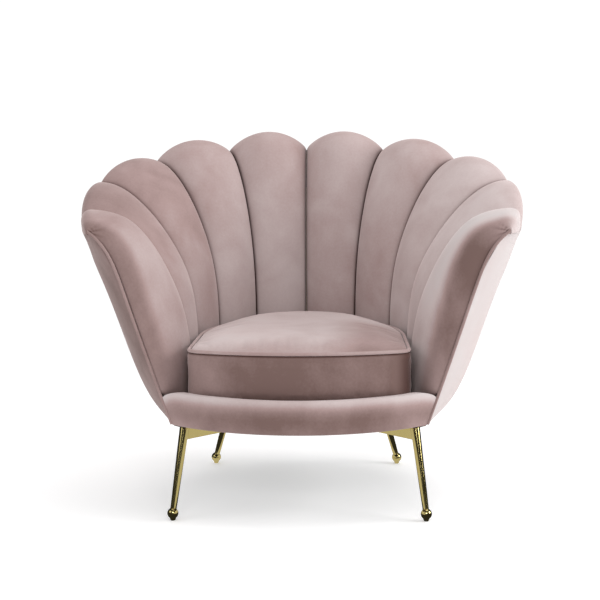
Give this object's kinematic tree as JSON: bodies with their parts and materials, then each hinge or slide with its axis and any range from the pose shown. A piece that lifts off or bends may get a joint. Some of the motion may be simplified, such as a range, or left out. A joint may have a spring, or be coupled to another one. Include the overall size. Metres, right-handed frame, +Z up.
{
  "type": "scallop back armchair",
  "caption": "Low velvet lounge armchair with a flared channelled shell whose lobes form a scalloped rim, a loose boxed cushion and slim splayed metal legs with ball feet.",
  "frame": {"origin": "on the floor, under the middle of the bounding box", "axes": "+X is to the right as seen from the front, +Y is towards the back of the chair, +Z is up"},
  "size_m": [1.014, 0.7904, 0.8286],
  "materials": {
    "velvet": "blush pink velvet with a short pile",
    "velvet_piping": "cord covered in the same velvet",
    "deck_cloth": "matte lining cloth over a thin felt",
    "plywood": "bent plywood, unfinished",
    "beech": "sawn hardwood, unfinished",
    "webbing": "woven elastic webbing",
    "dust_cloth": "thin black non-woven cloth",
    "gold_metal": "polished gold plated steel",
    "screw_steel": "zinc plated"
  },
  "bodies": {
    "chair_shell": {"channel_pad_right_1": "velvet", "channel_pad_left_1": "velvet", "channel_pad_right_2": "velvet", "channel_pad_left_2": "velvet", "channel_pad_right_3": "velvet", "channel_pad_left_3": "velvet", "channel_pad_right_4": "velvet", "channel_pad_left_4": "velvet", "channel_pad_right_5": "velvet", "channel_pad_left_5": "velvet", "outside_back_cover": "velvet", "outside_arm_cover_right": "velvet", "outside_arm_cover_left": "velvet", "front_rail_cover": "velvet", "arm_welt_right": "velvet_piping", "arm_welt_left": "velvet_piping", "seat_deck": "deck_cloth", "back_board_right": "plywood", "back_board_left": "plywood", "arm_board_right": "plywood", "arm_board_left": "plywood", "arm_front_board_right": "plywood", "arm_front_board_left": "plywood", "rib_right_1": "beech", "rib_left_1": "beech", "rib_right_2": "beech", "rib_left_2": "beech", "rib_right_3": "beech", "rib_left_3": "beech", "rib_right_4": "beech", "rib_left_4": "beech", "rim_rail_right": "beech", "rim_rail_left": "beech", "base_front_rail": "beech", "base_rear_rail": "beech", "base_side_rail_right": "beech", "base_side_rail_left": "beech", "webbing_long_1": "webbing", "webbing_long_2": "webbing", "webbing_long_3": "webbing", "webbing_cross_1": "webbing", "webbing_cross_2": "webbing", "dust_cover": "dust_cloth", "cross_bar_1": "gold_metal", "cross_bar_2": "gold_metal", "leg_front_left": "gold_metal", "leg_front_right": "gold_metal", "leg_rear_left": "gold_metal", "leg_rear_right": "gold_metal", "leg_plate_front_left": "gold_metal", "leg_plate_front_right": "gold_metal", "leg_plate_rear_left": "gold_metal", "leg_plate_rear_right": "gold_metal", "leg_screw_front_left": "screw_steel", "leg_screw_front_right": "screw_steel", "leg_screw_rear_left": "screw_steel", "leg_screw_rear_right": "screw_steel"},
    "loose_cushion": {"seat_cushion": "velvet", "seat_cushion_top_piping": "velvet_piping", "seat_cushion_bottom_piping": "velvet_piping"}
  },
  "joints": [
    {"name": "seat_cushion_lift", "type": "slide", "parent": "chair_shell", "child": "loose_cushion", "axis": [0, 0, 1], "range_m": [0, 0.6]}
  ]
}
